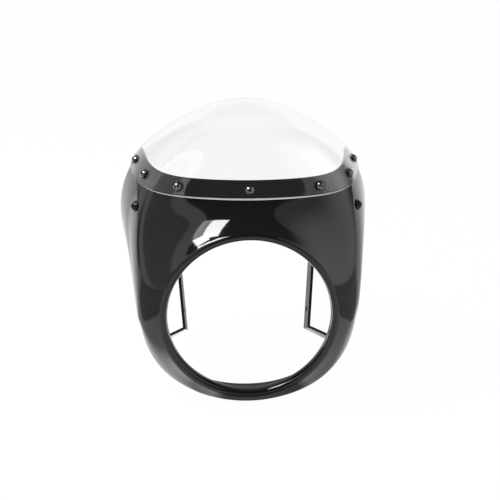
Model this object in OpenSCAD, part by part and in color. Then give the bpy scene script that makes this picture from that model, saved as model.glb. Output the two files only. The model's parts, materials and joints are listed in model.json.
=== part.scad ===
// Motorbike headlight cowl: a moulded shell round the headlight, a clear screen and two fork brackets.
// Millimetres. X runs to the viewer's right when the cowl is seen from the front, Y runs back, Z up.
// The origin is the centre of the headlight opening, in the plane of the front lip.

/* [Headlight opening] */
// Diameter of the throat that the headlight fills
opening_d = 180; // [170:1:190]
// Distance from the front lip to the end of the throat
throat_depth = 10.4; // [9:0.2:14]
// Radius of the rounded front lip
lip_r = 5; // [4.6:0.1:6]

/* [Cowl shell] */
// Wall of the shell
shell_wall = 3; // [2:0.25:4]
// Height of the shell's top edge
shell_top = 148; // [144:0.5:151]
// Radius of the shell's upper rear corner
shell_corner_r = 12; // [6:1:16]

/* [Screen] */
// Thickness of the screen
screen_wall = 3; // [2:0.25:4]
// Height of the screen's lower edge
screen_bottom = 127; // [123:0.5:131]
// Clearance between the shell and the screen
screen_gap = 0.4; // [0.3:0.05:0.6]
// Radius of the screen's lower rear corner
screen_corner_r = 10; // [6:1:14]

/* [Screen fasteners] */
// Distances of the three outer pairs of screws behind the front lip
screw_depths = [45.5, 84, 133];
// Shank of the screen screws
screw_d = 5; // [4:0.5:6]
// Head of the screen screws
screw_head_d = 9.5; // [8:0.5:11]
// Height of the domed head
screw_head_h = 2.8; // [2:0.1:3.5]
// Washers under the heads
washer_d = 11.6; // [10.5:0.1:13]
// Washers behind the shell, under the nuts
backing_washer_d = 10; // [9.5:0.1:11]
// Thickness of all the washers
washer_t = 1; // [0.8:0.1:1.6]

/* [Brackets] */
// Width of the steel strap
strap_w = 20; // [16:1:24]
// Thickness of the steel strap
strap_t = 3.2; // [2.5:0.1:4]
// Rake of the fork legs that the straps follow
fork_rake = 30; // [28:0.5:32]
// Turn of the straps about their own run, front edges outwards, in degrees
strap_toe = 7; // [4:0.5:10]
// Distance of the strap's middle line behind the headlight centre, square to the fork
strap_back = 75.5; // [73:0.5:78]
// Half of the space between the straps at their lower bends
lower_bend_x = 70; // [66:0.5:73]
// Half of the space between the straps at their upper bends
upper_bend_x = 79; // [75:0.5:82]
// Place of the lower bend along the fork
lower_bend_s = -5; // [-8:0.5:-2]
// Place of the upper bend along the fork
upper_bend_s = 100; // [96:0.5:104]
// Holes in the straps for the fork clamps
clamp_hole_d = 6.5; // [5.5:0.1:8.5]
// Distance of those holes from the bends
clamp_hole_in = 21; // [16:0.5:30]

/* [Bracket fasteners] */
// Direction of the upper bolt from the headlight axis, in degrees above level
upper_bolt_angle = 39.5; // [37.5:0.5:41.5]
// Distance of the upper bolt behind the front lip
upper_bolt_depth = 78; // [74:0.5:84]
// Direction of the lower bolt from the headlight axis, in degrees above level
lower_bolt_angle = -21.5; // [-23:0.5:-20]
// Distance of the lower bolt behind the front lip
lower_bolt_depth = 60; // [57:0.5:64]
// Shank of the bracket bolts
bolt_d = 6; // [5:0.5:6.5]
// Head of the bracket bolts
bolt_head_d = 10.5; // [10:0.5:12]
// Height of that domed head
bolt_head_h = 3.3; // [2.5:0.1:4]
// Rubber pads between the shell and the straps
pad_d = 17; // [14:0.5:19]
// Thickness of the rubber pads
pad_t = 2; // [1.5:0.1:3]

/* [Hidden] */

// Form of the cowl: one row per quality, one value every station_step degrees round the headlight axis,
// from straight down to straight up. The left half mirrors the right half.
station_step = 22.5;
rear_reach  = [105, 110, 119, 120, 117, 156, 188, 192, 210];
rear_depth  = [ 43,  46,  57,  82, 120, 152, 150, 149, 148];
start_slope = [ 45,  45,  42,  39,  40,  48,  62,  65,  62];
end_slope   = [ 96,  96,  97,  94,  85,  81,  81, 100,  92];
start_pull  = [ 23,  25,  32,  44,  58,  70,  77,  74,  70];
end_pull    = [ 34,  37,  50,  70,  86, 105, 123, 155, 159];
// Round length of a spoke from the lip to the rear edge, which turns a length into a share of the way
spoke_length = 200;

opening_r = opening_d / 2;
// The lip starts a little outside the throat, and the cast throat is bored out to size
lip_step = 0.5;
lip_centre_r = opening_r + lip_r + lip_step;
throat_chamfer = 1.2;
fit_clearance = 0.25;
hollow_clearance = 0.45;
// The pads are wider than those washers, so their rims meet the hollow side sooner
pad_clearance = 0.8;
hole_clearance = 0.5;
thread_clearance = 0.02;
cut_over = 1;
band_height = (shell_top + screen_bottom) / 2;
lower_spokes = 28;
upper_spokes = 14;
lip_steps = 6;
skin_steps = 15;
screen_spokes = 15;
screen_steps = 13;
socket_share = 0.55;
nut_h_share = 0.8;
nut_across_share = 1.6;
shank_spare = 1.5;
socket_across_share = 0.68;
bolt_washer_d = washer_d + 1;
// Powers that crowd the spokes at the upper corners, where the edges turn
shell_crowding = 1.7;
screen_crowding = 1.5;
screen_start_in = 1;

// Spline and vector functions
function unit(v) = v / norm(v);
function clamp01(v) = min(1, max(0, v));
function fold(a) = a > 90 ? 180 - a : a;
function blend(u) = [pow(1 - u, 3), 3*u*u*u - 6*u*u + 4, -3*u*u*u + 3*u*u + 3*u + 1, u*u*u] / 6;
function station(row, a) =
    let (s = (a + 90) / station_step,
         last = len(row) - 1,
         i = min(last - 1, max(0, floor(s))),
         b = blend(s - i))
    b[0] * row[i == 0 ? 1 : i - 1] + b[1] * row[i] + b[2] * row[i + 1]
        + b[3] * row[i + 2 > last ? last - 1 : i + 2];

// Control points of one spoke, as pairs of radius and depth: from the lip to the rear edge
function spoke(angle) =
    let (a = fold(angle),
         from = station(start_slope, a),
         to = station(end_slope, a),
         r = station(rear_reach, a),
         y = station(rear_depth, a),
         p = station(start_pull, a),
         q = station(end_pull, a),
         start = [lip_centre_r + lip_r * sin(from), lip_r - lip_r * cos(from)])
    [start, start + p * [cos(from), sin(from)], [r, y] - q * [cos(to), sin(to)], [r, y]];
function along(c, t) =
    pow(1 - t, 3) * c[0] + 3 * t * pow(1 - t, 2) * c[1] + 3 * t * t * (1 - t) * c[2] + t * t * t * c[3];
function place(a, p) = [p[0] * cos(a), p[1], p[0] * sin(a)];
function skin(a, t) = place(a, along(spoke(a), t));
t_step = 0.004;
a_step = 0.3;
function skin_normal(a, t) =
    unit(cross(skin(a, t + t_step) - skin(a, t - t_step), skin(a + a_step, t) - skin(a - a_step, t)));
function off_skin(a, t, d) = skin(a, t) + d * skin_normal(a, t);

// Where a spoke reaches a height or a depth, by halving
function t_at_height(c, a, z, lo = 0, hi = 1, n = 18) =
    n == 0 ? (lo + hi) / 2
    : along(c, (lo + hi) / 2)[0] * sin(a) < z ? t_at_height(c, a, z, (lo + hi) / 2, hi, n - 1)
    : t_at_height(c, a, z, lo, (lo + hi) / 2, n - 1);
function t_at_depth(c, y, lo = 0, hi = 1, n = 18) =
    n == 0 ? (lo + hi) / 2
    : along(c, (lo + hi) / 2)[1] < y ? t_at_depth(c, y, (lo + hi) / 2, hi, n - 1)
    : t_at_depth(c, y, lo, (lo + hi) / 2, n - 1);
// The spoke whose rear end is at height z, and the spoke that passes depth y at height z
function spoke_ending_at(z, lo = 10, hi = 80, n = 18) =
    n == 0 ? (lo + hi) / 2
    : station(rear_reach, (lo + hi) / 2) * sin((lo + hi) / 2) < z
        ? spoke_ending_at(z, (lo + hi) / 2, hi, n - 1)
        : spoke_ending_at(z, lo, (lo + hi) / 2, n - 1);
function height_at_depth(a, y) = let (c = spoke(a)) along(c, t_at_depth(c, y))[0] * sin(a);
function spoke_through(y, z, lo = 20, hi = 90, n = 16) =
    n == 0 ? (lo + hi) / 2
    : height_at_depth((lo + hi) / 2, y) < z ? spoke_through(y, z, (lo + hi) / 2, hi, n - 1)
    : spoke_through(y, z, lo, (lo + hi) / 2, n - 1);

// A rounded corner: how far an edge is drawn back, from none at k = 0 to r at k = 1
function corner(r, k) = r * (1 - sqrt(1 - pow(clamp01(k), 2)));

// Shell: the closed section of one spoke, lip and throat first, then the outer skin, then the inner skin
shell_corner_a = spoke_ending_at(shell_top);
shell_corner_span = asin(shell_corner_r / shell_top);
function shell_end(a) =
    let (f = fold(a),
         drawn = corner(shell_corner_r, (f - shell_corner_a + shell_corner_span) / shell_corner_span))
    f > shell_corner_a
        ? min(t_at_height(spoke(a), a, shell_top), 1 - drawn / spoke_length)
        : 1 - drawn / spoke_length;
function lip_point(r, d) = [lip_centre_r, lip_r] - r * [cos(d), sin(d)];
function shell_section(a) =
    let (turn = 90 + station(start_slope, fold(a)),
         end = shell_end(a),
         core_r = opening_r - lip_step)
    concat(
        [place(a, [core_r, throat_depth]), place(a, [core_r, lip_r + throat_chamfer])],
        [for (i = [0:lip_steps]) place(a, lip_point(lip_r, turn * i / lip_steps))],
        [for (i = [1:skin_steps]) skin(a, end * i / skin_steps)],
        [for (i = [skin_steps:-1:1]) off_skin(a, end * i / skin_steps, -shell_wall)],
        [for (i = [lip_steps:-1:0]) place(a, lip_point(lip_r - shell_wall, turn * i / lip_steps))],
        [place(a, [lip_centre_r - lip_r + shell_wall, throat_depth])]);
shell_half = concat(
    [for (i = [0:lower_spokes - 1]) -90 + (shell_corner_a + 90) * i / lower_spokes],
    [for (i = [0:upper_spokes])
        shell_corner_a + (90 - shell_corner_a) * pow(i / upper_spokes, shell_crowding)]);
shell_angles = concat(shell_half, [for (i = [len(shell_half) - 2:-1:1]) 180 - shell_half[i]]);

// Screen: from the lower edge to the rear edge, outer face then inner face
screen_start_a = spoke_ending_at(screen_bottom) + screen_start_in;
screen_corner_span = asin(screen_corner_r / screen_bottom);
function screen_rear(a) =
    1 - corner(screen_corner_r, (screen_start_a + screen_corner_span - fold(a)) / screen_corner_span)
        / spoke_length;
function screen_section(a) =
    let (c = spoke(a),
         front = t_at_height(c, a, screen_bottom),
         rear = screen_rear(a),
         step = (rear - front) / screen_steps)
    concat(
        [for (i = [0:screen_steps]) off_skin(a, front + step * i, screen_gap + screen_wall)],
        [for (i = [screen_steps:-1:0]) off_skin(a, front + step * i, screen_gap)]);
screen_half = [for (i = [0:screen_spokes])
    screen_start_a + (90 - screen_start_a) * pow(i / screen_spokes, screen_crowding)];
screen_angles = concat(screen_half, [for (i = [len(screen_half) - 2:-1:0]) 180 - screen_half[i]]);

// A skin wound through equal rings of points, closed on itself or with flat ends
module wound(rings, closed) {
    n = len(rings);
    m = len(rings[0]);
    turns = closed ? n : n - 1;
    sides = [for (i = [0:turns - 1], j = [0:m - 1])
        let (k = (i + 1) % n, l = (j + 1) % m)
        each [[i*m + j, i*m + l, k*m + l], [i*m + j, k*m + l, k*m + j]]];
    half = m / 2;
    ends = closed ? [] : [for (j = [0:half - 2])
        let (b = (n - 1) * m, p = m - 1 - j)
        each [[j, p, p - 1], [j, p - 1, j + 1], [b + j, b + p - 1, b + p], [b + j, b + j + 1, b + p - 1]]];
    polyhedron(points = [for (ring = rings) each ring], faces = concat(sides, ends), convexity = 8);
}

// Stands its children at p, with their X along u, Y along v and Z along n
module framed(u, v, n, p) {
    multmatrix([
        [u[0], v[0], n[0], p[0]],
        [u[1], v[1], n[1], p[1]],
        [u[2], v[2], n[2], p[2]],
        [0, 0, 0, 1]
    ])
        children();
}
// A frame standing on the skin: Z along the outward normal, X level
module on_skin(a, t) {
    n = skin_normal(a, t);
    u = unit(cross([0, 0, 1], n));
    framed(u, cross(n, u), n, skin(a, t)) children();
}

// Places of the fasteners, each as the angle of its spoke and the share of the way along it
screw_spots = concat(
    [[90, t_at_height(spoke(90), 90, band_height)]],
    [for (y = screw_depths) let (a = spoke_through(y, band_height)) [a, t_at_depth(spoke(a), y)]]);
upper_bolt = [upper_bolt_angle, t_at_depth(spoke(upper_bolt_angle), upper_bolt_depth)];
lower_bolt = [lower_bolt_angle, t_at_depth(spoke(lower_bolt_angle), lower_bolt_depth)];
module at_screws() {
    for (s = screw_spots) on_skin(s[0], s[1]) children();
    for (i = [1:len(screw_spots) - 1]) mirror([1, 0, 0])
        on_skin(screw_spots[i][0], screw_spots[i][1]) children();
}
module at_bolts() {
    for (side = [0, 1]) mirror([side, 0, 0])
        for (b = [upper_bolt, lower_bolt]) on_skin(b[0], b[1]) children();
}

// Heights along a screw, measured outward from the shell's outer face
screen_face = screen_gap + screen_wall;
screw_seat = screen_face + fit_clearance + washer_t;
backing_face = -shell_wall - hollow_clearance;
bolt_seat = fit_clearance + washer_t;
pad_face = -shell_wall - pad_clearance;
strap_face = pad_face - pad_t;
strap_back_face = strap_face - strap_t;

module domed_screw(d, head_d, head_h, seat, tip) {
    cap_r = (pow(head_d / 2, 2) + head_h * head_h) / (2 * head_h);
    difference() {
        union() {
            translate([0, 0, tip]) cylinder(d = d, h = seat - tip + head_h / 3, $fn = 32);
            rotate_extrude($fn = 48) intersection() {
                translate([0, seat + head_h - cap_r]) circle(r = cap_r, $fn = 96);
                translate([0, seat]) square([head_d / 2, head_h]);
            }
        }
        translate([0, 0, seat + head_h * (1 - socket_share)])
            cylinder(d = d * socket_across_share, h = head_h, $fn = 6);
    }
}
module ring(d, hole, h) {
    difference() {
        cylinder(d = d, h = h, $fn = 48);
        translate([0, 0, -cut_over]) cylinder(d = hole, h = h + 2 * cut_over, $fn = 32);
    }
}
module hex_nut(d, top) {
    translate([0, 0, top - d * nut_h_share]) difference() {
        cylinder(d = d * nut_across_share / cos(30), h = d * nut_h_share, $fn = 6);
        translate([0, 0, -cut_over])
            cylinder(d = d + thread_clearance, h = d * nut_h_share + 2 * cut_over, $fn = 32);
    }
}

module cowl_shell() {
    color("#141416") difference() {
        wound([for (a = shell_angles) shell_section(a)], true);
        rotate([-90, 0, 0]) translate([0, 0, -cut_over])
            cylinder(r = opening_r, h = throat_depth + 3 * cut_over, $fn = 128);
        at_screws() translate([0, 0, -2 * shell_wall])
            cylinder(d = screw_d + hole_clearance, h = 3 * shell_wall, $fn = 32);
        at_bolts() translate([0, 0, -2 * shell_wall])
            cylinder(d = bolt_d + hole_clearance, h = 3 * shell_wall, $fn = 32);
    }
}
module screen() {
    color([0.86, 0.9, 0.94, 0.35]) difference() {
        wound([for (a = screen_angles) screen_section(a)], false);
        at_screws() translate([0, 0, -screen_wall])
            cylinder(d = screw_d + hole_clearance, h = 4 * screen_wall, $fn = 32);
    }
}
module screen_screws() {
    color("#1c1c1e") at_screws() domed_screw(screw_d, screw_head_d, screw_head_h, screw_seat,
        backing_face - washer_t - screw_d * nut_h_share - shank_spare);
}
module screen_washers() {
    color("#101010") at_screws() translate([0, 0, screen_face + fit_clearance])
        ring(washer_d, screw_d + hole_clearance, washer_t);
}
module screen_backing_washers() {
    color("#8a8c90") at_screws() translate([0, 0, backing_face - washer_t])
        ring(backing_washer_d, screw_d + hole_clearance, washer_t);
}
module screen_nuts() {
    color("#9a9ca0") at_screws() hex_nut(screw_d, backing_face - washer_t);
}

// Fork frame: s runs up the fork, w square to it and back
fork_up = [0, sin(fork_rake), cos(fork_rake)];
fork_back = [0, cos(fork_rake), -sin(fork_rake)];
lower_bend = [lower_bend_x, 0, 0] + lower_bend_s * fork_up + strap_back * fork_back;
upper_bend = [upper_bend_x, 0, 0] + upper_bend_s * fork_up + strap_back * fork_back;
strap_run = unit(upper_bend - lower_bend);
// Across the strap from its front to its rear edge, and square to its faces
strap_across = cos(strap_toe) * fork_back - sin(strap_toe) * unit(cross(fork_back, strap_run));
strap_side = cross(strap_across, strap_run);
foot_in = 15;
// The legs are this much thinner and narrower than the bends they run between, so no two faces coincide
leg_relief = 0.1;

// One rounded bend of the strap: a rod across it
module strap_rod(p, across, relief = 0) {
    u = unit(cross(across, [0.3, 0.2, 1]));
    framed(u, cross(across, u), across, p)
        cylinder(d = strap_t - relief, h = strap_w - relief, center = true, $fn = 24);
}
// The foot lies under its bolt on the shell's inner side, and runs up the fork from its heel
module foot_frame(spot) { on_skin(spot[0], spot[1]) translate([0, 0, strap_face - strap_t / 2]) children(); }
function foot_point(spot) = off_skin(spot[0], spot[1], strap_face - strap_t / 2);
function foot_run(spot) = let (n = skin_normal(spot[0], spot[1])) unit(fork_up - (fork_up * n) * n);
module strap_leg(bend, spot) {
    n = skin_normal(spot[0], spot[1]);
    run = foot_run(spot);
    heel = foot_point(spot) - foot_in * run;
    hull() {
        strap_rod(bend, strap_across, leg_relief);
        strap_rod(heel, cross(n, run), leg_relief);
    }
    hull() {
        strap_rod(heel, cross(n, run));
        foot_frame(spot) cylinder(d = strap_w, h = strap_t, center = true, $fn = 32);
    }
}
module clamp_hole(p) {
    framed(strap_across, strap_run, strap_side, p)
        cylinder(d = clamp_hole_d, h = 3 * strap_t, center = true, $fn = 32);
}
module bracket() {
    difference() {
        union() {
            hull() {
                strap_rod(lower_bend, strap_across);
                strap_rod(upper_bend, strap_across);
            }
            strap_leg(lower_bend, lower_bolt);
            strap_leg(upper_bend, upper_bolt);
        }
        clamp_hole(lower_bend + clamp_hole_in * strap_run);
        clamp_hole(upper_bend - clamp_hole_in * strap_run);
        for (spot = [lower_bolt, upper_bolt])
            foot_frame(spot) cylinder(d = bolt_d + hole_clearance, h = 3 * strap_t, center = true, $fn = 32);
    }
}
module left_bracket() { color("#4a4b4d") mirror([1, 0, 0]) bracket(); }
module right_bracket() { color("#4a4b4d") bracket(); }
module bracket_bolts() {
    color("#161617") at_bolts() domed_screw(bolt_d, bolt_head_d, bolt_head_h, bolt_seat,
        strap_back_face - fit_clearance - bolt_d * nut_h_share - shank_spare);
}
module bracket_bolt_washers() {
    color("#101010") at_bolts() translate([0, 0, fit_clearance])
        ring(bolt_washer_d, bolt_d + hole_clearance, washer_t);
}
module bracket_pads() {
    color("#0c0c0c") at_bolts() translate([0, 0, strap_face])
        ring(pad_d, bolt_d + hole_clearance, pad_t);
}
module bracket_nuts() {
    color("#9a9ca0") at_bolts() hex_nut(bolt_d, strap_back_face - fit_clearance);
}

cowl_shell();
screen();
screen_screws();
screen_washers();
screen_backing_washers();
screen_nuts();
left_bracket();
right_bracket();
bracket_bolts();
bracket_bolt_washers();
bracket_pads();
bracket_nuts();
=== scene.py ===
"""Looks of a motorbike headlight cowl: gloss black shell, clear screen, domed screws and steel straps.

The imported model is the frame. X runs to the viewer's right, Y back and Z up, in metres, and the origin is the
centre of the headlight opening in the plane of the front lip. Sizes below are in millimetres until a mesh is made.
"""
import json
import math

import bpy
import numpy as np
from mathutils import Matrix, Vector

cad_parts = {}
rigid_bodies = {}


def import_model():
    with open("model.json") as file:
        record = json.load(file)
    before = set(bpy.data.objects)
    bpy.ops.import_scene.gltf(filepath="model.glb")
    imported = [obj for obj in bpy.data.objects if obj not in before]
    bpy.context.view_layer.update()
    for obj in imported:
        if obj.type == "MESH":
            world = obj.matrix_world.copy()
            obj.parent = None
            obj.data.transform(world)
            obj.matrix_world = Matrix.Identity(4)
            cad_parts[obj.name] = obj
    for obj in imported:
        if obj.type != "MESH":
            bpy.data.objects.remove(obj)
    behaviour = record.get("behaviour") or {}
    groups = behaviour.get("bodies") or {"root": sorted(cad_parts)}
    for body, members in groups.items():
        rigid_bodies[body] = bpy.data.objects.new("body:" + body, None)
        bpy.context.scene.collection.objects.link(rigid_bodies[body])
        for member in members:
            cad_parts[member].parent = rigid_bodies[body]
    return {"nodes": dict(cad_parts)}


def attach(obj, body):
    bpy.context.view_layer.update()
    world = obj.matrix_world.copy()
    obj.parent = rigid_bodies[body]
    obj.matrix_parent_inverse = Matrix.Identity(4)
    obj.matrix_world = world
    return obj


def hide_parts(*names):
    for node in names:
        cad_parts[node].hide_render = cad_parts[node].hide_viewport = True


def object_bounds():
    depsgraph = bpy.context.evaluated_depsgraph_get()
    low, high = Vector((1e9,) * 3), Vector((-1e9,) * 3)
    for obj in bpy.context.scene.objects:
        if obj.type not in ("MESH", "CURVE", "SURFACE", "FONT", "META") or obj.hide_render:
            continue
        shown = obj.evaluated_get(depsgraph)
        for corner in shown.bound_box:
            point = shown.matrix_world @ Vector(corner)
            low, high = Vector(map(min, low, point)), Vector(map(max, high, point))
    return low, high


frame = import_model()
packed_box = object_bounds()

MM = 0.001

# Form of the cowl: one value every 22.5 degrees round the headlight axis, from straight down to straight up.
# Rear reach and depth are where each spoke of the skin ends, the slopes are its directions at both ends in
# degrees, and the pulls are how far its curve follows them
STATION_STEP = 22.5
REAR_REACH = (105, 110, 119, 120, 117, 156, 188, 192, 210)
REAR_DEPTH = (43, 46, 57, 82, 120, 152, 150, 149, 148)
START_SLOPE = (45, 45, 42, 39, 40, 48, 62, 65, 62)
END_SLOPE = (96, 96, 97, 94, 85, 81, 81, 100, 92)
START_PULL = (23, 25, 32, 44, 58, 70, 77, 74, 70)
END_PULL = (34, 37, 50, 70, 86, 105, 123, 155, 159)

# Main sizes of the shell and the screen. The screen starts SCREEN_START_IN degrees past the spoke that ends level
# with its lower edge, and a share of a spoke stands for NOMINAL_SPOKE at its rounded corners
OPENING_R = 90
THROAT_DEPTH = 10.4
LIP_R = 5
LIP_CENTRE_R = 95.5
SHELL_WALL = 3
SHELL_TOP = 148
SCREEN_WALL = 3
SCREEN_BOTTOM = 127
SCREEN_GAP = 0.4
SCREEN_CORNER_R = 10
SCREEN_START_IN = 1
NOMINAL_SPOKE = 200

# Bored throat running into the lip: radius past the opening's, and depth
THROAT_INTO_LIP = ((0, 8.4), (0, 7.2), (0.02, 6.2), (0.16, 5.3))

# How round the edges are, and how fine the surfaces: steps along the skin, round the lip, rims and domes, and
# spokes from straight down to straight up. The shell's are in three spans: below, close to and above its upper
# rear corner
RIM_R = 0.9
SHELL_STEPS = SCREEN_STEPS = 72
LIP_STEPS, INNER_LIP_STEPS, RIM_STEPS, DOME_STEPS = 20, 10, 5, 14
SHELL_SPOKES, SCREEN_SPOKES = (110, 14, 60), 90
SHARP_ANGLE = 32

# Steps by which directions on the skin are measured: share of a spoke, and degrees
SHARE_STEP, ANGLE_STEP = 0.002, 0.2

# Fasteners: seven screws hold the screen, one in the middle and three pairs placed by depth, and four bolts hold
# the straps, two pairs placed by angle and depth
SCREW_DEPTHS = (45.5, 84, 133)
UPPER_BOLT, LOWER_BOLT = (39.5, 78), (-21.5, 60)
SCREW_D, SCREW_HEAD_D, SCREW_HEAD_H = 5, 9.5, 2.8
BOLT_D, BOLT_HEAD_D, BOLT_HEAD_H = 6, 10.5, 3.3
WASHER_D, BOLT_WASHER_D, BACKING_WASHER_D, WASHER_T = 11.6, 12.6, 10, 1
FIT_CLEARANCE, HOLLOW_CLEARANCE, PAD_CLEARANCE, HOLE_CLEARANCE = 0.25, 0.45, 0.8, 0.5
NUT_HEIGHT_SHARE, SHANK_SPARE = 0.8, 1.5
PAD_T, STRAP_T = 2, 3.2

# Rounded rim of a domed head: distances in from its edge and above its seat
HEAD_RIM = ((0.35, 0), (0.12, 0.04), (0.02, 0.14))


# ---- surfaces

def fold(angle):
    """The left half of the cowl mirrors the right half: an angle past straight up is taken from the other side."""
    return np.where(angle > 90, 180 - angle, angle)


def station(row, angle):
    """Value at an angle by an even cubic B-spline over a row of station values, with both ends mirrored."""
    row = np.array([row[1], *row, row[-2]], float)
    s = (fold(angle) + 90) / STATION_STEP
    i = np.clip(np.floor(s).astype(int), 0, len(row) - 4)
    u = s - i
    shares = ((1 - u) ** 3, 3 * u**3 - 6 * u**2 + 4, -3 * u**3 + 3 * u**2 + 3 * u + 1, u**3)
    return sum(share * row[i + k] for k, share in enumerate(shares)) / 6


def radial(angle, radius, depth):
    """Point at a radius and a depth in the half plane that stands at an angle round the headlight axis."""
    a = np.radians(angle)
    radius, depth, a = np.broadcast_arrays(radius, depth, a)
    return np.stack([radius * np.cos(a), depth, radius * np.sin(a)], axis=-1)


def spoke(angle, t):
    """Radius and depth on one spoke of the skin: a cubic Bezier curve from the rounded lip to the rear edge."""
    start, end = np.radians(station(START_SLOPE, angle)), np.radians(station(END_SLOPE, angle))
    p, q = station(START_PULL, angle), station(END_PULL, angle)
    r0, y0 = LIP_CENTRE_R + LIP_R * np.sin(start), LIP_R - LIP_R * np.cos(start)
    r3, y3 = station(REAR_REACH, angle), station(REAR_DEPTH, angle)
    b0, b1, b2, b3 = (1 - t) ** 3, 3 * t * (1 - t) ** 2, 3 * t * t * (1 - t), t**3
    radius = b0 * r0 + b1 * (r0 + p * np.cos(start)) + b2 * (r3 - q * np.cos(end)) + b3 * r3
    depth = b0 * y0 + b1 * (y0 + p * np.sin(start)) + b2 * (y3 - q * np.sin(end)) + b3 * y3
    return radius, depth


def skin(angle, t):
    """Outer skin of the cowl, by angle round the headlight and share of the way from the lip to the rear edge."""
    angle, t = np.broadcast_arrays(np.asarray(angle, float), np.asarray(t, float))
    return radial(angle, *spoke(angle, t))


def unit(v):
    """A vector over its own length."""
    return v / np.linalg.norm(v, axis=-1, keepdims=True)


def skin_along(angle, t):
    """Unit vector along a spoke towards the rear edge, from two places on the skin close to each other."""
    return unit(skin(angle, t + SHARE_STEP) - skin(angle, t - SHARE_STEP))


def skin_normal(angle, t):
    """Outward unit normal: the cross product of a step along the spoke and one round the axis."""
    return unit(np.cross(skin_along(angle, t), skin(angle + ANGLE_STEP, t) - skin(angle - ANGLE_STEP, t)))


def length_per_share(angle, t, step=0.01):
    """Millimetres of skin for a unit of share, measured just before share t of each spoke."""
    return np.linalg.norm(skin(angle, t) - skin(angle, t - step), axis=-1) / step


def off_skin(angle, t, distance):
    """The skin moved outwards along its normal."""
    return skin(angle, t) + distance * skin_normal(angle, t)


def share_where(angle, reached, high=1.0):
    """Share of each spoke at which reached(angle, t) turns true, found by halving."""
    low, high = np.zeros_like(angle, float), np.full_like(angle, high, dtype=float)
    for _ in range(30):
        middle = (low + high) / 2
        past = reached(angle, middle)
        low, high = np.where(past, low, middle), np.where(past, middle, high)
    return (low + high) / 2


def share_at_height(angle, z, high=1.0):
    """Share of each spoke at which the skin reaches height z."""
    return share_where(angle, lambda a, t: skin(a, t)[..., 2] >= z, high)


def share_at_depth(angle, y):
    """Share of each spoke at which the skin reaches depth y."""
    return share_where(angle, lambda a, t: skin(a, t)[..., 1] >= y)


def spoke_through(y, z):
    """Angle of the spoke that passes depth y at height z."""
    angles = np.linspace(20, 90, 7001)
    heights = skin(angles, share_at_depth(angles, y))[:, 2]
    return angles[np.argmin(np.abs(heights - z))]


def spoke_ending_at(z):
    """Angle of the spoke whose rear end is at height z."""
    angles = np.linspace(10, 80, 7001)
    return angles[np.argmin(np.abs(station(REAR_REACH, angles) * np.sin(np.radians(angles)) - z))]


def rim_profile(wall, r, steps):
    """Rounded edge of a sheet, from its outer to its inner face: distances along the sheet and off its face.

    Two quarter circles of radius r, with the flat of the edge between them.
    """
    turn = np.radians(np.linspace(0, 90, steps))
    along = np.concatenate([r * np.sin(turn) - r, r * np.cos(turn) - r])
    across = np.concatenate([r * np.cos(turn) - r, r - wall - r * np.sin(turn)])
    return along, across


def rim_points(angle, t, outer, wall, way):
    """Rounded edge of the skin at share t of each spoke; way is 1 at the rear end and -1 at the front end."""
    along, across = rim_profile(wall, RIM_R, RIM_STEPS)
    base = skin(angle, t)[:, None]
    run, normal = skin_along(angle, t)[:, None], skin_normal(angle, t)[:, None]
    return base + way * run * along[None, :, None] + normal * (outer + across)[None, :, None]


def grid_faces(rows, columns, wrap_rows, wrap_columns):
    """Four-sided faces between neighbours of a grid of points, wound round where it closes on itself."""
    i = np.arange(rows if wrap_rows else rows - 1)[:, None]
    j = np.arange(columns if wrap_columns else columns - 1)[None, :]
    k, l = (i + 1) % rows, (j + 1) % columns
    return np.stack([i * columns + j, k * columns + j, k * columns + l, i * columns + l], axis=-1).reshape(-1, 4)


def signed_volume(points, faces):
    """Six times the volume inside four-sided faces, a sum of triple products. It is negative if they face in."""
    a, b, c, d = (points[faces[:, k]] for k in range(4))
    return (np.cross(b - a, c - a) * a).sum() + (np.cross(c - a, d - a) * a).sum()


def place_object(name, data):
    made = bpy.data.objects.new(name, data)
    bpy.context.scene.collection.objects.link(made)
    return made


def mesh_piece(name, points, faces, material, caps=(), sharp=None, outwards=False):
    """Smooth mesh object at the origin from points in millimetres, its faces turned outwards if need be.

    Caps are faces with any number of corners. Edges that turn by more than sharp, in degrees, stay crisp.
    """
    points = np.asarray(points, float).reshape(-1, 3)
    if not outwards and signed_volume(points, faces) < 0:
        faces = faces[:, ::-1]
        caps = [cap[::-1] for cap in caps]
    mesh = bpy.data.meshes.new(name)
    mesh.from_pydata((points * MM).tolist(), [], faces.tolist() + [list(cap) for cap in caps])
    mesh.validate()
    mesh.shade_smooth()
    if sharp:
        mesh.set_sharp_from_angle(angle=math.radians(sharp))
    mesh.materials.append(material)
    return place_object(name, mesh)


# ---- cowl shell and screen

def shell_angles():
    """Spokes of the shell, closer together at the upper rear corners, all the way round from straight down."""
    corner = spoke_ending_at(SHELL_TOP)
    crowded_from, crowding = corner - 6, 1.6
    below, close, above = SHELL_SPOKES
    half = np.concatenate([
        np.linspace(-90, crowded_from, below),
        np.linspace(crowded_from + 0.4, corner, close),
        corner + (90 - corner) * np.linspace(0, 1, above)[1:] ** crowding,
    ])
    return np.concatenate([half, 180 - half[-2:0:-1]])


def shell_end(angle):
    """Share of each spoke at which the shell ends: the smaller of the rear edge's and the level top edge's.

    The two run into each other as a soft minimum, -s log(exp(-a / s) + exp(-b / s)), which rounds the corner.
    """
    search_to, softness = 1.25, 0.035
    level = share_at_height(angle, SHELL_TOP, search_to)
    return -softness * np.log(np.exp(-1 / softness) + np.exp(-level / softness))


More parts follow.
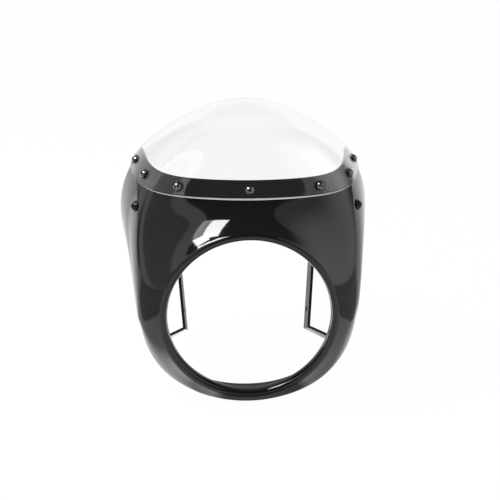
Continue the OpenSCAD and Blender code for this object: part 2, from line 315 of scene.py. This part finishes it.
def shell_grid():
    """Closed section of each spoke: throat, lip, outer skin, rear rim, inner skin and the lip's inner side."""
    angle = shell_angles()
    a = angle[:, None]
    end = shell_end(angle)
    edge = end - RIM_R / length_per_share(angle, end)
    steps = np.linspace(0, 1, SHELL_STEPS)
    turn, lip_start = 90 + station(START_SLOPE, a), 10
    inner_r = LIP_R - SHELL_WALL
    bead = np.radians(np.linspace(0, 90, RIM_STEPS))
    past, depth = np.array(THROAT_INTO_LIP).T
    throat_r = np.concatenate([
        LIP_CENTRE_R - inner_r - RIM_R * (1 - np.cos(bead)),
        OPENING_R + RIM_R * (1 - np.sin(bead)),
        OPENING_R + past])
    throat_y = np.concatenate([
        THROAT_DEPTH - RIM_R * (1 - np.sin(bead)),
        THROAT_DEPTH - RIM_R * (1 - np.cos(bead)),
        depth])
    d = np.radians(lip_start + (turn - lip_start) * np.linspace(0, 1, LIP_STEPS)[:-1])
    lip = radial(a, LIP_CENTRE_R - LIP_R * np.cos(d), LIP_R - LIP_R * np.sin(d))
    d = np.radians(turn * np.linspace(1, 0, INNER_LIP_STEPS)[1:])
    inner_lip = radial(a, LIP_CENTRE_R - inner_r * np.cos(d), LIP_R - inner_r * np.sin(d))
    return np.concatenate([
        radial(a, throat_r[None], throat_y[None]),
        lip,
        skin(a, edge[:, None] * steps)[:, :-1],
        rim_points(angle, end, 0, SHELL_WALL, 1),
        off_skin(a, edge[:, None] * steps[-2::-1], -SHELL_WALL),
        inner_lip,
    ], axis=1)


def make_shell(material):
    """The moulding, its rows closed on themselves and joined all the way round."""
    grid = shell_grid()
    rows, columns = grid.shape[:2]
    shell = mesh_piece("cowl_shell_moulding", grid, grid_faces(rows, columns, True, True), material)
    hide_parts("cowl_shell")
    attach(shell, "root")


def screen_angles():
    """Spokes of the screen, closer together at its two lower rear corners."""
    start, crowding = spoke_ending_at(SCREEN_BOTTOM) + SCREEN_START_IN, 1.5
    half = start + (90 - start) * np.linspace(0, 1, SCREEN_SPOKES) ** crowding
    return np.concatenate([half, 180 - half[-2::-1]])


def corner_draw(r, k):
    """How far a rounded corner draws an edge back, from none at k = 0 to r at k = 1."""
    return r * (1 - np.sqrt(1 - np.clip(k, 0, 1) ** 2))


def screen_grid():
    """Closed section of each spoke: outer face, rear rim, inner face and lower rim.

    The rounded corners take their draw off the rear end as a share of a spoke's nominal length.
    """
    angle = screen_angles()
    span = np.degrees(np.arcsin(SCREEN_CORNER_R / SCREEN_BOTTOM))
    front = share_at_height(angle, SCREEN_BOTTOM)
    rear = 1 - corner_draw(SCREEN_CORNER_R, (angle[0] + span - fold(angle)) / span) / NOMINAL_SPOKE
    inset = RIM_R / length_per_share(angle, rear)
    steps = (front + inset)[:, None] + (rear - front - 2 * inset)[:, None] * np.linspace(0, 1, SCREEN_STEPS)
    outer = SCREEN_GAP + SCREEN_WALL
    return np.concatenate([
        off_skin(angle[:, None], steps, outer)[:, 1:-1],
        rim_points(angle, rear, outer, SCREEN_WALL, 1),
        off_skin(angle[:, None], steps[:, ::-1], SCREEN_GAP)[:, 1:-1],
        rim_points(angle, front, outer, SCREEN_WALL, -1)[:, ::-1],
    ], axis=1)


def make_screen(material, edge_material):
    """The screen's sheet. Its lower rim and the two ends of the sheet show the sawn edge."""
    grid = screen_grid()
    rows, columns = grid.shape[:2]
    caps = [list(range(columns)), [(rows - 1) * columns + j for j in range(columns - 1, -1, -1)]]
    screen = mesh_piece("clear_screen_sheet", grid, grid_faces(rows, columns, False, True), material, caps)
    screen.data.materials.append(edge_material)
    across = np.arange((rows - 1) * columns) % columns
    skin_columns = SCREEN_STEPS - 2
    rim_columns = (columns - 2 * skin_columns) // 2
    on_rim = across >= 2 * skin_columns + rim_columns - 1
    screen.data.polygons.foreach_set("material_index", np.append(on_rim, [True, True]).astype(np.int32))
    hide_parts("screen")
    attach(screen, "root")
    return screen


# ---- fasteners

def seats(spots):
    """Frames on the skin as rows: two directions across, outwards and place. Spots off the middle have a twin."""
    frames = []
    for angle, t in spots:
        place, outwards = skin(angle, t), skin_normal(angle, t)
        for side in (1, -1) if abs(place[0]) > 1 else (1,):
            n = outwards * (side, 1, 1)
            across = unit(np.cross((0, 0, 1), n))
            frames.append(np.stack([across, np.cross(n, across), n, place * (side, 1, 1)]))
    return frames


def turned_pieces(name, node, profile, frames, material, hexagonal=(), closed=False, sides=48):
    """One object with a copy of a turned part at every seat.

    The profile is a list of (radius, height) that climbs its outer side, and each point of it becomes a ring.
    Rings whose index is in hexagonal have six sides, and their radius is that of the corners. A closed profile
    makes a part with a hole, and an open one ends in flat caps.
    """
    turn = np.radians(np.arange(sides) * 360 / sides)
    sixth = np.radians(60)
    hexed = np.cos(sixth / 2) / np.cos(turn % sixth - sixth / 2)
    reach = np.array([r * (hexed if k in hexagonal else np.ones(sides)) for k, (r, _) in enumerate(profile)])
    height = np.array([np.full(sides, z) for _, z in profile])
    rings = np.stack([reach * np.cos(turn), reach * np.sin(turn), height], axis=-1).reshape(-1, 3)
    quads = grid_faces(len(profile), sides, closed, True)[:, ::-1]
    points, faces, caps = [], [], []
    for k, frame_rows in enumerate(frames):
        points.append(rings @ frame_rows[:3] + frame_rows[3])
        faces.append(quads + k * len(rings))
        if not closed:
            first, last = k * len(rings), (k + 1) * len(rings) - sides
            caps += [[first + j for j in range(sides - 1, -1, -1)], [last + j for j in range(sides)]]
    made = mesh_piece(name, np.concatenate(points), np.concatenate(faces), material, caps,
                      sharp=SHARP_ANGLE, outwards=True)
    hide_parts(node)
    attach(made, "root")


def screw_profile(d, head_d, head_h, seat, tip):
    """Machine screw from its tip up: rolled thread, domed head with a rounded rim, and its socket.

    The thread is drawn as rings a pitch apart. The dome is part of a sphere through the head's rim and its top.
    Also says which rings are six-sided.
    """
    pitch, depth, play, tip_chamfer = 0.16 * d, 0.09 * d, 0.02, 0.3
    core, r, head_r = d / 2 - depth, d / 2 - play, head_d / 2
    crest, flank = 0.06 * pitch, 0.45 * pitch
    thread = [p for z in np.arange(tip + pitch, seat - pitch, pitch)
              for p in ((core, z - flank), (r, z - crest), (r, z + crest))]
    cap_r = (head_r**2 + head_h**2) / (2 * head_h)
    centre = seat + head_h - cap_r
    socket, socket_depth, land = 0.36 * d, 0.55 * head_h, 0.35
    chamfer_in, chamfer_down = 0.12, 0.2
    brim = [(head_r - inwards, seat + up) for inwards, up in HEAD_RIM]
    dome = [(cap_r * math.sin(a), centre + cap_r * math.cos(a))
            for a in np.linspace(math.asin(brim[1][0] / cap_r), math.asin((socket + land) / cap_r), DOME_STEPS)]
    floor = seat + head_h - socket_depth + play
    mouth = centre + math.sqrt(cap_r**2 - socket**2)
    rings = [(core - tip_chamfer, tip)] + thread + [(core, seat)] + brim + dome[1:]
    first = len(rings)
    rings += [(socket, mouth - play), (socket - chamfer_in, mouth - chamfer_down), (socket - chamfer_in, floor)]
    return rings, (first, first + 1, first + 2)


def washer_profile(d, hole, bottom, r=0.35):
    """Washer from its lower face up: quarter circles round its outer edges, and a chamfered hole."""
    turn = np.radians(np.linspace(0, 90, RIM_STEPS))
    top, edge, bore, chamfer = bottom + WASHER_T, d / 2 - r, hole / 2, 0.1
    return ([(bore + chamfer, bottom)] + [(edge + r * math.sin(a), bottom + r - r * math.cos(a)) for a in turn]
            + [(edge + r * math.cos(a), top - r + r * math.sin(a)) for a in turn]
            + [(bore + chamfer, top), (bore, top - chamfer), (bore, bottom + chamfer)])


def nut_profile(d, top):
    """Hexagon nut, its corners and its bore chamfered at both ends. Also says which rings are six-sided."""
    half_across, chamfer = 0.8 * d, 0.35
    bottom, corner, bore = top - NUT_HEIGHT_SHARE * d, half_across / math.cos(math.radians(30)), d / 2 + 0.01
    face, cut = half_across - 0.15, 0.09 * d
    return [(bore + chamfer, bottom), (face, bottom), (corner, bottom + cut), (corner, top - cut), (face, top),
            (bore + chamfer, top), (bore, top - chamfer), (bore, bottom + chamfer)], (2, 3)


def make_fasteners(chromed, blackened, washer, plated):
    """Screws, bolts, washers and nuts at their seats, each stack worked out from the thickness it clamps."""
    band = (SHELL_TOP + SCREEN_BOTTOM) / 2
    middle = np.array([90.0])
    spots = [(90.0, share_at_height(middle, band)[0])]
    for depth in SCREW_DEPTHS:
        angle = spoke_through(depth, band)
        spots.append((angle, share_at_depth(np.array([angle]), depth)[0]))
    at_screws = seats(spots)
    at_bolts = seats([(angle, share_at_depth(np.array([float(angle)]), depth)[0])
                      for angle, depth in (UPPER_BOLT, LOWER_BOLT)])
    seat = SCREEN_GAP + SCREEN_WALL + FIT_CLEARANCE + WASHER_T
    back = -SHELL_WALL - HOLLOW_CLEARANCE - WASHER_T
    strap_back = -SHELL_WALL - PAD_CLEARANCE - PAD_T - STRAP_T - FIT_CLEARANCE
    rings, hexed = screw_profile(SCREW_D, SCREW_HEAD_D, SCREW_HEAD_H, seat,
                                 back - NUT_HEIGHT_SHARE * SCREW_D - SHANK_SPARE)
    turned_pieces("domed_screws", "screen_screws", rings, at_screws, chromed, hexed)
    rings, hexed = screw_profile(BOLT_D, BOLT_HEAD_D, BOLT_HEAD_H, FIT_CLEARANCE + WASHER_T,
                                 strap_back - NUT_HEIGHT_SHARE * BOLT_D - SHANK_SPARE)
    turned_pieces("strap_bolts", "bracket_bolts", rings, at_bolts, blackened, hexed)
    hole = SCREW_D + HOLE_CLEARANCE
    turned_pieces("screw_washers", "screen_washers",
                  washer_profile(WASHER_D, hole, seat - WASHER_T), at_screws, washer, closed=True)
    turned_pieces("bolt_washers", "bracket_bolt_washers",
                  washer_profile(BOLT_WASHER_D, BOLT_D + HOLE_CLEARANCE, FIT_CLEARANCE), at_bolts, washer,
                  closed=True)
    turned_pieces("plated_washers", "screen_backing_washers",
                  washer_profile(BACKING_WASHER_D, hole, back, r=0.2), at_screws, plated, closed=True)
    rings, hexed = nut_profile(SCREW_D, back)
    turned_pieces("screw_nuts", "screen_nuts", rings, at_screws, plated, hexed, closed=True)
    rings, hexed = nut_profile(BOLT_D, strap_back)
    turned_pieces("bolt_nuts", "bracket_nuts", rings, at_bolts, plated, hexed, closed=True)


# ---- materials

def colour(hex_code):
    """Linear colour of an sRGB hex code."""
    parts = [int(hex_code[i:i + 2], 16) / 255 for i in (1, 3, 5)]
    return (*[p / 12.92 if p <= 0.04045 else ((p + 0.055) / 1.055) ** 2.4 for p in parts], 1)


def add_node(tree, kind, inputs=None, **settings):
    """Adds a node. Settings are its own properties. An input is a value, or another node with its output."""
    made = tree.nodes.new(kind)
    for key, value in settings.items():
        setattr(made, key, value)
    for socket, value in (inputs or {}).items():
        if isinstance(value, tuple) and isinstance(value[0], bpy.types.Node):
            tree.links.new(value[0].outputs[value[1]], made.inputs[socket])
        else:
            made.inputs[socket].default_value = value
    return made


def new_material(name):
    """An empty node material, its tree and the tree's texture coordinates."""
    made = bpy.data.materials.new(name)
    made.use_nodes = True
    made.node_tree.nodes.clear()
    tree = made.node_tree
    place = add_node(tree, "ShaderNodeTexCoord")
    return made, tree, place


def noise(tree, place, size, detail, roughness):
    """Cloudy pattern whose features have this size, and whose values are mostly between 0.3 and 0.7."""
    return add_node(tree, "ShaderNodeTexNoise", {
        "Vector": (place, "Object"), "Scale": 1000 / size, "Detail": detail, "Roughness": roughness})


def relief(tree, pattern, strength, height):
    """Normals of a surface on which the pattern stands out by this height."""
    return add_node(tree, "ShaderNodeBump", {
        "Height": (pattern, "Fac"), "Strength": strength, "Distance": height * MM}), "Normal"


def varied(tree, pattern, low, high, span=(0.3, 0.7)):
    """Value that goes from low to high as the pattern crosses its span."""
    return add_node(tree, "ShaderNodeMapRange", {
        "Value": (pattern, "Fac"), "From Min": span[0], "From Max": span[1],
        "To Min": low, "To Max": high}), "Result"


def tinted(tree, pattern, first, second):
    """Colour that the pattern mixes from two hex codes."""
    return add_node(tree, "ShaderNodeMix", {
        "Factor": (pattern, "Fac"), "A": colour(first), "B": colour(second)}, data_type="RGBA"), 2


def end_in_surface(tree, inputs):
    """The principled surface that ends a material's tree."""
    surface = add_node(tree, "ShaderNodeBsdfPrincipled", inputs)
    add_node(tree, "ShaderNodeOutputMaterial", {"Surface": (surface, "BSDF")})


def gloss_moulded_abs():
    """Injection-moulded ABS, black through and through: mirror sharp reflections with a trace of orange peel."""
    made, tree, place = new_material("gloss_moulded_abs")
    peel, haze = noise(tree, place, 6, 2, 0.45), noise(tree, place, 45, 4, 0.6)
    end_in_surface(tree, {
        "Base Color": tinted(tree, haze, "#060607", "#0b0b0d"), "Roughness": varied(tree, haze, 0.045, 0.085),
        "Normal": relief(tree, peel, 0.35, 0.035), "IOR": 1.53})
    return made


def blown_clear_acrylic():
    """Cast acrylic sheet, heated and blown: clear with a cool cast, faintly wavy from the blowing."""
    made, tree, place = new_material("blown_clear_acrylic")
    wave, wipe = noise(tree, place, 60, 1, 0.4), noise(tree, place, 30, 5, 0.6)
    end_in_surface(tree, {
        "Base Color": colour("#fdfdff"), "Roughness": varied(tree, wipe, 0, 0.035, (0.35, 0.75)),
        "Normal": relief(tree, wave, 0.25, 0.4), "IOR": 1.49, "Transmission Weight": 1})
    return made


def sawn_acrylic_edge_painted_glow():
    """The trimmed edge of the acrylic: frosted by the saw, and bright with painted light, a pale colour that
    stands in for the light the sheet carries to its edge.
    """
    made, tree, place = new_material("sawn_acrylic_edge_painted_glow")
    marks = noise(tree, place, 1.5, 3, 0.6)
    # The pale colour is partly the saw's frosting and partly painted light for the light that the sheet carries
    end_in_surface(tree, {
        "Base Color": tinted(tree, marks, "#e9ebee", "#f4f5f7"), "Roughness": 0.3,
        "Normal": relief(tree, marks, 0.3, 0.04), "IOR": 1.49})
    return made


def black_chrome_steel():
    """Screen screws in black chrome: dark grey mirror metal with a fine polishing grain."""
    made, tree, place = new_material("black_chrome_steel")
    grain = noise(tree, place, 1.2, 3, 0.6)
    end_in_surface(tree, {
        "Base Color": tinted(tree, grain, "#626266", "#747478"), "Metallic": 1,
        "Roughness": varied(tree, grain, 0.1, 0.18), "Normal": relief(tree, grain, 0.2, 0.02)})
    return made


def black_oxide_steel():
    """Strap bolts with a black oxide finish: near black metal with a dull sheen and an oily, uneven bloom."""
    made, tree, place = new_material("black_oxide_steel")
    bloom = noise(tree, place, 1.8, 4, 0.6)
    end_in_surface(tree, {
        "Base Color": tinted(tree, bloom, "#242426", "#363639"), "Metallic": 1,
        "Roughness": varied(tree, bloom, 0.24, 0.36), "Normal": relief(tree, bloom, 0.25, 0.02)})
    return made


def black_nylon():
    """Moulded nylon washers: black and waxy bright, with a fine mould texture."""
    made, tree, place = new_material("black_nylon")
    grain = noise(tree, place, 0.8, 2, 0.5)
    end_in_surface(tree, {
        "Base Color": colour("#141415"), "Roughness": varied(tree, grain, 0.16, 0.26),
        "Normal": relief(tree, grain, 0.3, 0.02), "IOR": 1.53})
    return made


def zinc_plated_steel():
    """Nuts and backing washers of bright zinc plate: cool grey metal with cloudy patches."""
    made, tree, place = new_material("zinc_plated_steel")
    cloud = noise(tree, place, 2.5, 4, 0.65)
    end_in_surface(tree, {
        "Base Color": tinted(tree, cloud, "#9fa2a6", "#c3c6c9"), "Metallic": 1,
        "Roughness": varied(tree, cloud, 0.22, 0.42)})
    return made


def satin_painted_steel():
    """Bent steel strap in dark grey stove paint: satin, with a fine spray grain and slightly rubbed patches."""
    made, tree, place = new_material("satin_painted_steel")
    grain, patch = noise(tree, place, 0.7, 2, 0.5), noise(tree, place, 22, 5, 0.65)
    end_in_surface(tree, {
        "Base Color": tinted(tree, patch, "#3a3b3d", "#4d4e51"), "Metallic": 0.35,
        "Roughness": varied(tree, patch, 0.34, 0.5), "Normal": relief(tree, grain, 0.5, 0.05)})
    return made


def black_rubber():
    """Pads of black rubber: dull, with a slightly dusty bloom."""
    made, tree, place = new_material("black_rubber")
    bloom = noise(tree, place, 3, 5, 0.7)
    end_in_surface(tree, {
        "Base Color": tinted(tree, bloom, "#0e0e0e", "#1d1d1d"), "Roughness": 0.75,
        "Normal": relief(tree, bloom, 0.4, 0.1), "IOR": 1.52})
    return made


# ---- studio

# The middle of the cowl and half the width of the floor are in metres, and levels are beside white
COWL_MIDDLE = (0, 0.08, 0.05)
FLOOR_REACH = 3
ROOM_LEVEL, FLOOR_LEVEL, FLOOR_OWN_WHITE = 0.15, 1.0, 0.975

# Softboxes: degrees across and above of their middle, degrees wide and high, and level beside white
SOFTBOXES = (
    ("key_softbox", -71, 60, 33, 15, 20),
    ("key_softbox_end", -97, 49, 11, 12, 20),
    ("strip_softbox", -70, 48.5, 32, 8, 4),
)

# Patches of the room above the floor, and of the floor as reflections show it, as they are seen from the cowl:
# degrees across from the front and above level of their middle, degrees from it where they start to fade and
# where they end, and their level
ROOM_PATCHES = (
    (180, 5, 30, 50, 0.95),
    (180, 42, 12, 34, 0.65),
    (-118, 8, 8, 16, 0.85),
    (-140, 18, 16, 26, 0.55),
    (122, 20, 12, 24, 0.45),
    (-70, 14, 34.5, 36, 0.96),
    (-70, 14, 22, 24.5, 0.51),
    (66, 22, 34, 36, 0.51),
    (84, 16, 0, 42, 1.21),
)
FLOOR_PATCHES = (
    (0, -35, 8, 25, 0.8),
    (14, -66, 14, 20, 0.2),
    (-122, -16, 8, 20, 2.4),
    (-100, -58, 22, 28, 4.0),
    (105, -50, 18, 26, 2.8),
    (-85, -14, 13, 14.5, 0.38),
    (-86, -2, 13, 14.5, 0.42),
    (89, -13, 15.5, 17, 0.42),
    (90, -2, 15.5, 17, 0.46),
)


def make_camera():
    """Camera as the photograph was taken: 1.4 m away, 23 degrees above level, a little to the left and rolled.

    Its focal length and the place of the cowl's origin in the picture are in pixels of the 500 pixel frame.
    """
    above, left, roll = np.radians([22.6, 3.47, 0.78])
    distance, focal, frame_width, sensor = 1400, 1280.0, 500, 36
    origin_x, origin_y = 249.7 - frame_width / 2, 318.5 - frame_width / 2
    ahead = np.array([np.sin(left) * np.cos(above), np.cos(left) * np.cos(above), -np.sin(above)])
    right = np.array([np.cos(left), -np.sin(left), 0])
    up = np.cross(right, ahead)
    right, up = np.cos(roll) * right + np.sin(roll) * up, -np.sin(roll) * right + np.cos(roll) * up
    place = -(ahead + origin_x / focal * right - origin_y / focal * up) * distance * MM
    data = bpy.data.cameras.new("photo_camera")
    data.sensor_width = sensor
    data.lens = sensor * focal / frame_width
    camera = place_object("photo_camera", data)
    camera.matrix_world = Matrix((
        (right[0], up[0], -ahead[0], place[0]),
        (right[1], up[1], -ahead[1], place[1]),
        (right[2], up[2], -ahead[2], place[2]),
        (0, 0, 0, 1)))
    bpy.context.scene.camera = camera


def direction(across, above):
    """Unit direction from the cowl, in degrees across from the front, positive to the right, and above level."""
    turn, lift = math.radians(across), math.radians(above)
    return Vector((math.sin(turn) * math.cos(lift), -math.cos(turn) * math.cos(lift), math.sin(lift)))


def make_softbox(name, across, above, wide, high, level, distance=1.5):
    """A panel of light that fills wide by high degrees as the cowl sees it, distance metres away.

    Its level is its brightness beside white, and its energy is pi times that and its area.
    """
    way = direction(across, above)
    data = bpy.data.lights.new(name, "AREA")
    data.shape = "RECTANGLE"
    data.size = 2 * distance * math.tan(math.radians(wide / 2))
    data.size_y = 2 * distance * math.tan(math.radians(high / 2))
    data.energy = level * math.pi * data.size * data.size_y
    light = place_object(name, data)
    light.location = Vector(COWL_MIDDLE) + way * distance
    light.rotation_euler = (-way).to_track_quat("-Z", "Y").to_euler()
    return light


def seen_straight(tree):
    """1 for what the camera sees itself or through the screen, and 0 for light and for reflections."""
    path = add_node(tree, "ShaderNodeLightPath")
    either = add_node(tree, "ShaderNodeMath", {
        0: (path, "Is Camera Ray"), 1: (path, "Is Transmission Ray")}, operation="MAXIMUM")
    mirrored = add_node(tree, "ShaderNodeMath", {
        0: (path, "Glossy Depth"), 1: (path, "Diffuse Depth")}, operation="ADD")
    direct = add_node(tree, "ShaderNodeMath", {0: (mirrored, "Value"), 1: 0.5}, operation="LESS_THAN")
    return add_node(tree, "ShaderNodeMath", {0: (either, "Value"), 1: (direct, "Value")}, operation="MULTIPLY")


def patched_level(tree, heading, base, patches):
    """Brightness by direction: a base level with round patches painted over it.

    A patch covers fully up to its inner angle from its middle, and fades out smoothly to its outer angle.
    """
    start = add_node(tree, "ShaderNodeValue")
    start.outputs[0].default_value = base
    painted = (start, 0)
    for across, above, inner, outer, level in patches:
        facing = add_node(tree, "ShaderNodeVectorMath", {
            0: heading, 1: direction(across, above)}, operation="DOT_PRODUCT")
        cover = add_node(tree, "ShaderNodeMapRange", {
            "Value": (facing, "Value"), "From Min": math.cos(math.radians(outer)),
            "From Max": math.cos(math.radians(inner))}, interpolation_type="SMOOTHSTEP")
        painted = (add_node(tree, "ShaderNodeMix", {"Factor": (cover, "Result"), "A": painted, "B": level}), 0)
    return painted


def make_world():
    """White where it is seen straight. Reflections and light come from a dim room with paler patches in it."""
    world = bpy.data.worlds.new("studio")
    bpy.context.scene.world = world
    world.use_nodes = True
    tree = world.node_tree
    tree.nodes.clear()
    place = add_node(tree, "ShaderNodeTexCoord")
    room = patched_level(tree, (place, "Generated"), ROOM_LEVEL, ROOM_PATCHES)
    strength = add_node(tree, "ShaderNodeMath", {
        0: (seen_straight(tree), "Value"), 1: room}, operation="MAXIMUM")
    back = add_node(tree, "ShaderNodeBackground", {"Color": (1, 1, 1, 1), "Strength": (strength, "Value")})
    add_node(tree, "ShaderNodeOutputWorld", {"Surface": (back, "Background")})


def make_floor():
    """White paper under the cowl. Most of its white is its own, so only a faint shadow shows on it.

    Where reflections look, it has patches too, laid out by place as the middle of the cowl sees them.
    """
    made, tree, place = new_material("white_paper_floor")
    tint = tinted(tree, noise(tree, place, 4, 3, 0.5), "#f6f6f6", "#f9f9f9")
    matt = add_node(tree, "ShaderNodeBsdfDiffuse", {"Color": tint})
    path = add_node(tree, "ShaderNodeLightPath")
    from_cowl = add_node(tree, "ShaderNodeVectorMath", {
        0: (place, "Object"), 1: COWL_MIDDLE}, operation="SUBTRACT")
    heading = add_node(tree, "ShaderNodeVectorMath", {0: (from_cowl, "Vector")}, operation="NORMALIZE")
    mirrored = add_node(tree, "ShaderNodeMath", {
        0: patched_level(tree, (heading, "Vector"), FLOOR_LEVEL, FLOOR_PATCHES), 1: (path, "Is Glossy Ray")},
        operation="MULTIPLY")
    straight = add_node(tree, "ShaderNodeMath", {
        0: (path, "Is Camera Ray"), 1: (path, "Is Transmission Ray")}, operation="MAXIMUM")
    bright = add_node(tree, "ShaderNodeMath", {
        0: (mirrored, "Value"), 1: (straight, "Value")}, operation="MAXIMUM")
    glow = add_node(tree, "ShaderNodeEmission", {"Color": (1, 1, 1, 1), "Strength": (bright, "Value")})
    seen = add_node(tree, "ShaderNodeMath", {
        0: (straight, "Value"), 1: (path, "Is Glossy Ray")}, operation="MAXIMUM")
    share = add_node(tree, "ShaderNodeMath", {0: (seen, "Value"), 1: FLOOR_OWN_WHITE}, operation="MULTIPLY")
    both = add_node(tree, "ShaderNodeMixShader", {
        0: (share, "Value"), 1: (matt, "BSDF"), 2: (glow, "Emission")})
    add_node(tree, "ShaderNodeOutputMaterial", {"Surface": (both, "Shader")})
    z = packed_box[0][2]
    mesh = bpy.data.meshes.new("studio_floor")
    corners = [(x * FLOOR_REACH, y * FLOOR_REACH, z) for x, y in ((-1, -1), (1, -1), (1, 1), (-1, 1))]
    mesh.from_pydata(corners, [], [(0, 1, 2, 3)])
    mesh.materials.append(made)
    place_object("studio_floor", mesh)


def keep_lights_off(lights, shaded):
    """The softboxes pass by the clear screen, as flags on their stands would make them do."""
    lit = bpy.data.collections.new("lit_by_softboxes")
    for other in bpy.context.scene.objects:
        if other.type == "MESH" and other != shaded:
            lit.objects.link(other)
    for light in lights:
        light.light_linking.receiver_collection = lit


# ---- the object

make_camera()
make_world()
make_floor()
softboxes = [make_softbox(*row) for row in SOFTBOXES]
make_shell(gloss_moulded_abs())
screen = make_screen(blown_clear_acrylic(), sawn_acrylic_edge_painted_glow())
make_fasteners(black_chrome_steel(), black_oxide_steel(), black_nylon(), zinc_plated_steel())
strap_paint, rubber = satin_painted_steel(), black_rubber()
for name, finish in (("left_bracket", strap_paint), ("right_bracket", strap_paint), ("bracket_pads", rubber)):
    for slot in frame["nodes"][name].material_slots:
        slot.material = finish
keep_lights_off(softboxes, screen)

bpy.context.scene.view_settings.view_transform = "Standard"
